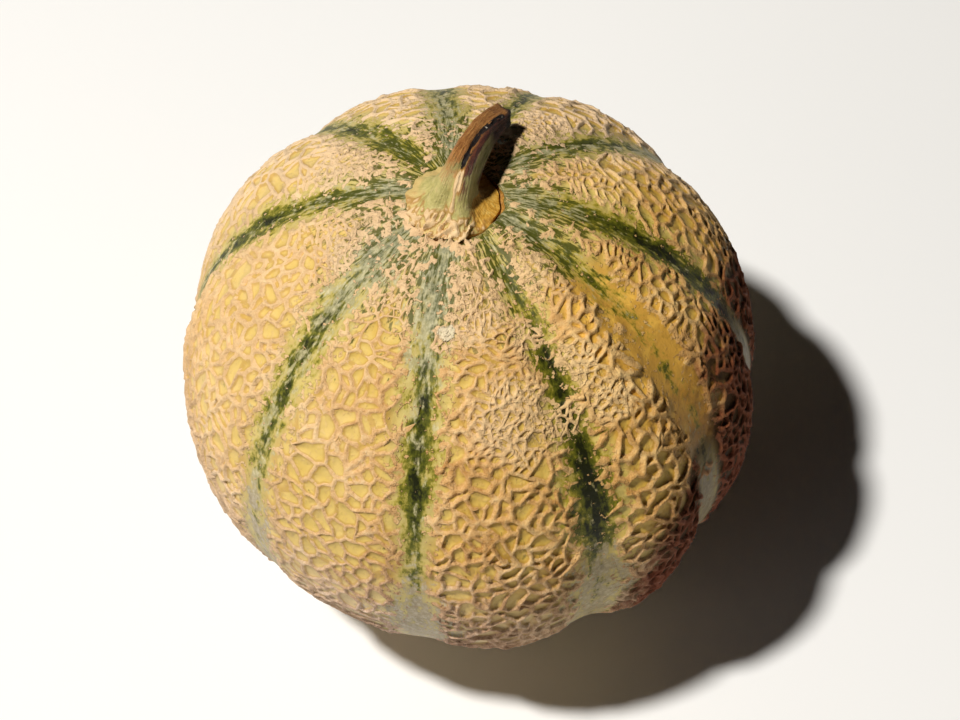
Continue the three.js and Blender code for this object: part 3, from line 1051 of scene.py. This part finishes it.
def add_fruit(cork_group):
    dirs, height, cork, out, faces = net_mesh()
    height += RIM_LUMP_HEIGHT * rim_lumps(dirs)
    mesh = bpy.data.meshes.new("fruit_rind")
    mesh.from_pydata(skin(dirs, height).tolist(), [], faces)
    store_looks(mesh, dirs, cork, out)
    mesh.materials.append(rind_material(cork_group))
    fruit = bpy.data.objects.new("fruit_rind", mesh)
    bpy.context.scene.collection.objects.link(fruit)
    cutter = add_pit_cutter(pit_material())
    apply_modifier(fruit, "BOOLEAN", operation="DIFFERENCE", object=cutter, solver="EXACT",
                   material_mode="TRANSFER")
    bpy.data.objects.remove(cutter)
    apply_modifier(fruit, "TRIANGULATE")
    smooth_all_but_the_pit_rim(fruit)
    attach(fruit, "root")
    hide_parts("fruit")


# ---- the stem

SEAT_GAP = 0.3 * MM
STEM_SIDES = 144
STEM_SECTIONS = 110
STEM_RIDGES = 5
STALK_R = 4.4 * MM
TIP_R = 2.7 * MM
# What lies in a band along the stem: the band's angle round it, and its width, in degrees.
CRACK = (-118, 13)
BEADS = (-112, 9)  # of cork, below the crack
CRUST = (-122, 50)  # of cork, along the foot's front
SNUG = (-160, 62)  # where the foot fills the pit
HOLLOW = (-5, 68)  # bare flesh, where the collar is broken away
# How far they stand out or in, as a share of the stem's radius there.
RIDGE_HEIGHT = 0.12
CRACK_DEPTH = 0.24
BEAD_HEIGHT = 0.1
CRUST_HEIGHT = 0.075
COLLAR_HEIGHT = 0.17
END_RINGS = 4
END_SHRINK = 0.75
STEM_LINE = np.array([
    (0, 0, 0), (0.3, 0.3, 4.0), (1.2, 1.5, 7.2), (3.1, 5.0, 9.0), (5.8, 10.6, 8.6),
    (8.8, 16.8, 6.2), (11.9, 21.9, 2.9),
]) * MM


def curve_through(knots, shares):
    """Points at these shares of the length of a smooth curve through the knots, and its tangents."""
    padded = np.vstack([2 * knots[0] - knots[1], knots, 2 * knots[-1] - knots[-2]])
    dense = []
    for k in range(len(knots) - 1):
        a, b, c, d = padded[k : k + 4]
        t = np.linspace(0, 1, 40, endpoint=False)[:, None]
        dense.append(0.5 * (2 * b + (c - a) * t + (2 * a - 5 * b + 4 * c - d) * t**2
                            + (3 * b - a - 3 * c + d) * t**3))
    dense = np.vstack([*dense, knots[-1:]])
    lengths = np.concatenate([[0], np.cumsum(np.linalg.norm(np.diff(dense, axis=0), axis=1))])
    lengths /= lengths[-1]
    points, ahead, behind = [
        columns(*[np.interp(shares + step, lengths, line) for line in dense.T]) for step in (0, 0.01, -0.01)
    ]
    return points, unit(ahead - behind)


def stem_radius(share, angle):
    """A wide foot that sweeps into a slim stalk, gently on its front left."""
    stalk = STALK_R + (TIP_R - STALK_R) * share
    sweep = 0.05 + 0.09 * (0.5 + 0.5 * np.cos(angle - math.radians(215)))
    return stalk + (FOOT_R - STALK_R) * np.exp(-((np.maximum(0, share - 0.02) / sweep) ** 1.15))


def wrapped(angle):
    return (angle + math.pi) % (2 * math.pi) - math.pi


def band(angle, middle, width):
    """1 along a line at this angle round the stem, fading over the width, in degrees."""
    return np.exp(-((wrapped(angle - np.radians(middle)) / math.radians(width)) ** 2))


def shape_stem(mesh):
    """Bends the upright cylinder along the stem's line and gives it ridges, a crack and bark.
    The share of its length is 0 at the foot and 1 at the cut end."""
    places = positions(mesh)
    share = np.clip(places[:, 2], 0, 1) ** 1.35
    around = np.arctan2(places[:, 1], places[:, 0])
    out = np.hypot(places[:, 0], places[:, 1])
    angle = around + 0.5 * share
    cosine, sine = np.cos(around), np.sin(around)
    ring = columns(cosine, sine, share * 2.2)
    ridge = RIDGE_HEIGHT * smooth(share, 0.0, 0.14) * np.cos(STEM_RIDGES * angle + 0.6)
    fibres = np.sin(23 * around + 3 * ripple(ring, 1.2, 60)) * 0.6 + np.sin(41 * around + 2.0) * 0.4
    stalk = smooth(share, 0.25, 0.45)
    bark = 0.02 * stalk * fibres + 0.02 * ripple(ring, 0.5, 61) + 0.014 * stalk * ripple(ring, 0.16, 62)
    crack_line = CRACK[0] + 17 * smooth(share, 0.4, 0.95) + 3 * np.sin(20 * share)
    crack = band(around, crack_line, CRACK[1]) * window(share, 0.26, 0.33, 0.88, 0.95)
    crack *= np.clip(0.9 + 0.5 * ripple(ring, 0.25, 65), 0.3, 1)
    beads = band(around, *BEADS) * window(share, 0.1, 0.16, 0.26, 0.33)
    beads *= np.clip(0.5 + 0.7 * ripple(ring, 0.2, 63), 0, 1.3)
    crust_ring = columns(cosine, sine, share * 4.5)
    lumps = 0.5 + 0.4 * ripple(crust_ring, 0.24, 66) + 0.5 * ripple(crust_ring, 0.13, 70)
    crust = band(around, *CRUST) * window(share, 0.005, 0.03, 0.07, 0.14) * np.clip(lumps, 0, 1.4)
    snug = 0.055 * band(around, *SNUG) * smooth(-share, -0.12, 0)
    rim = 0.02 * ripple(ring, 0.45, 67) * smooth(-share, -0.1, 0)
    from_hollow = np.degrees(np.abs(wrapped(around - math.radians(HOLLOW[0]))))
    collar = smooth(from_hollow, 62, 84) * window(share, 0.034, 0.04, 0.04, 0.13)
    collar *= 1 + 0.16 * ripple(ring, 0.3, 68) + 0.1 * ripple(ring, 0.12, 69)
    cork = BEAD_HEIGHT * beads + CRUST_HEIGHT * crust + COLLAR_HEIGHT * collar
    grow = 1 + ridge + bark - CRACK_DEPTH * crack + cork + snug + rim
    reach = out * stem_radius(share, angle) * grow
    points, tangents = curve_through(STEM_LINE, share)
    up = np.array([0.0, 0.0, 1.0])
    blend = smooth(share, 0, 0.2)[:, None]
    along = unit(up * (1 - blend) + tangents * blend)
    axis = np.cross(up, along)
    size = np.linalg.norm(axis, axis=1, keepdims=True)
    axis = np.where(size > 1e-9, axis / np.maximum(size, 1e-9), [1.0, 0.0, 0.0])
    turn = np.arccos(np.clip(along[:, 2:3], -1, 1))
    flat = columns(reach * np.cos(angle), reach * np.sin(angle), 0 * reach)
    turned = (flat * np.cos(turn) + np.cross(axis, flat) * np.sin(turn)
              + axis * (axis * flat).sum(1, keepdims=True) * (1 - np.cos(turn)))
    final = turned + points + [*STEM_MIDDLE, PIT_FLOOR_Z + SEAT_GAP]
    final[:, 2] += (1.1 * crust + 0.3 * beads) * MM * (share > 0.01)
    end = smooth(share, 0.985, 1.0) * (out < 0.995)
    final += along * (end * 0.5 * MM * ripple(final, 1.6 * MM, 64) - 0.5 * MM * end * (1 - out))[:, None]
    set_positions(mesh, final)
    store(
        mesh,
        share=share,
        around=wrapped(around) / math.pi,
        crack=crack,
        crust=np.clip(np.maximum(crust, beads) * 1.5, 0, 1),
        hollow=band(around, *HOLLOW) * smooth(-share, -0.2, -0.12),
        collar=np.clip(collar, 0, 1),
        grain=columns(cosine, sine, share * 0.9),
    )


def stem_material(cork_group):
    material, shader, nodes, place = new_material("dry_stem")
    share, around, crack = nodes.kept("share", "around", "crack")
    crust, hollow, collar = nodes.kept("crust", "hollow", "collar")
    fibre = nodes.swing(nodes.kept("grain", output="Vector")[0], 15, 1.0, 5, 0.65)
    blotch = nodes.swing(place, 420, 1.0)
    speckle = nodes.swing(place, 1800, 1.0, 3, 0.6)
    tone = nodes.total((fibre, 1.2), (speckle, 0.5), (blotch, 0.4), plus=0.5)
    soft_tone = nodes.total((fibre, 0.4), (blotch, 0.8), plus=0.5)
    stops = (0.2, 0.5, 0.8)
    green = nodes.ramp(soft_tone, stops, "969150 BDB371 DDD098")
    tan = nodes.ramp(tone, stops, "673912 A36C34 CE9A58")
    dark = nodes.ramp(tone, stops, "1A0805 46190E 7E4526")
    flesh = nodes.ramp(tone, stops, "AE7822 DBA640 F2CE74")
    side = nodes.total(around, (fibre, 0.12))
    # The right side, away from the key light, is darker red-brown: partly the stem's own colour and partly
    # painted shade.
    right = nodes.times(nodes.between(side, -0.62, -0.55), nodes.between(side, 0.05, 0.2, 1, 0))
    pale = nodes.times(nodes.between(side, -0.48, -0.42), nodes.between(side, -0.2, -0.12, 1, 0))
    pale = nodes.times(pale, nodes.between(share, 0.5, 0.7, 1, 0))
    dried = nodes.total(share, (fibre, 0.35), (blotch, 0.25), (right, 0.06))
    cork = nodes.add("ShaderNodeGroup", {"Place": place, "Age": 0.0}, node_tree=cork_group).outputs
    fluff = nodes.between([(crack, 0.5), (blotch, 2.2), (speckle, 0.8)], 0.78, 0.86)
    bark = nodes.layers(
        green,
        (nodes.between(dried, 0.2, 0.36), nodes.layers(tan, (right, dark), (pale, green))),
        (nodes.between([hollow, (blotch, 0.5)], 0.4, 0.6), flesh),
        (nodes.between([collar, (blotch, 0.8), (fibre, 0.4)], 0.3, 0.9, 0, 0.9), "D3B878"),
        (nodes.between([crust, (blotch, 0.5)], 0.04, 0.25, 0, 0.7), "A9742F"),
        (nodes.between([crust, (blotch, 0.7)], 0.3, 0.5), nodes.mix(0.55, cork["Color"], "E8CFA4")),
        (nodes.between([crack, (speckle, 0.6), (blotch, 0.6)], 0.34, 0.5), "160705"),
        (nodes.times(fluff, nodes.between(crack, 0.3, 0.5)), "DDD3C4"),
        (nodes.between([share, (around, 0.1), (blotch, 0.12)], 0.87, 0.93), "24130D"),
    )
    fibres = nodes.times(fibre, nodes.between(share, 0.12, 0.35, 0.25, 1))
    relief = nodes.total((fibres, 0.7 * MM), (speckle, 0.25 * MM), (blotch, 0.3 * MM))
    nodes.finish(shader, bark, nodes.between(dried, 0.4, 0.52, 0.55, 0.78), relief, strength=0.9)
    return material


def add_stem(cork_group):
    """An upright cylinder, drawn out section by section and then bent to the stem's form."""
    deselect_all()
    bpy.ops.mesh.primitive_circle_add(vertices=STEM_SIDES, radius=1, fill_type="NOTHING")
    stem = bpy.context.object
    stem.name = stem.data.name = "cut_stem"
    edit_mode()
    bpy.ops.mesh.select_all(action="SELECT")
    for _ in range(STEM_SECTIONS):
        bpy.ops.mesh.extrude_region_move(TRANSFORM_OT_translate={"value": (0, 0, 1 / STEM_SECTIONS)})
    for _ in range(END_RINGS):
        bpy.ops.mesh.extrude_region_move()
        bpy.ops.transform.resize(value=(END_SHRINK, END_SHRINK, 1), center_override=(0, 0, 1))
    bpy.ops.mesh.edge_face_add()
    bpy.ops.mesh.select_all(action="DESELECT")
    bpy.ops.mesh.select_non_manifold()
    bpy.ops.mesh.edge_face_add()
    bpy.ops.mesh.select_all(action="SELECT")
    bpy.ops.mesh.normals_make_consistent(inside=False)
    edit_mode(False)
    shape_stem(stem.data)
    stem.data.materials.append(stem_material(cork_group))
    bpy.ops.object.shade_smooth_by_angle(angle=math.radians(60))
    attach(stem, "root")
    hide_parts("stem")


# ---- the floor

FLOOR_SIZE = 6


def add_floor():
    deselect_all()
    bpy.ops.mesh.primitive_plane_add(size=FLOOR_SIZE)
    floor = bpy.context.object
    floor.name = "floor"
    material, shader, nodes, place = new_material("pale_floor")
    tone = nodes.ramp(nodes.noise(place, 3, 2), (0.0, 1.0), "F3F6FB F8FAFE")
    nodes.put(tone, shader.inputs["Base Color"])
    shader.inputs["Roughness"].default_value = 0.9
    floor.data.materials.append(material)


add_camera()
add_lights()
cork = add_cork_group()
add_fruit(cork)
add_stem(cork)
add_floor()
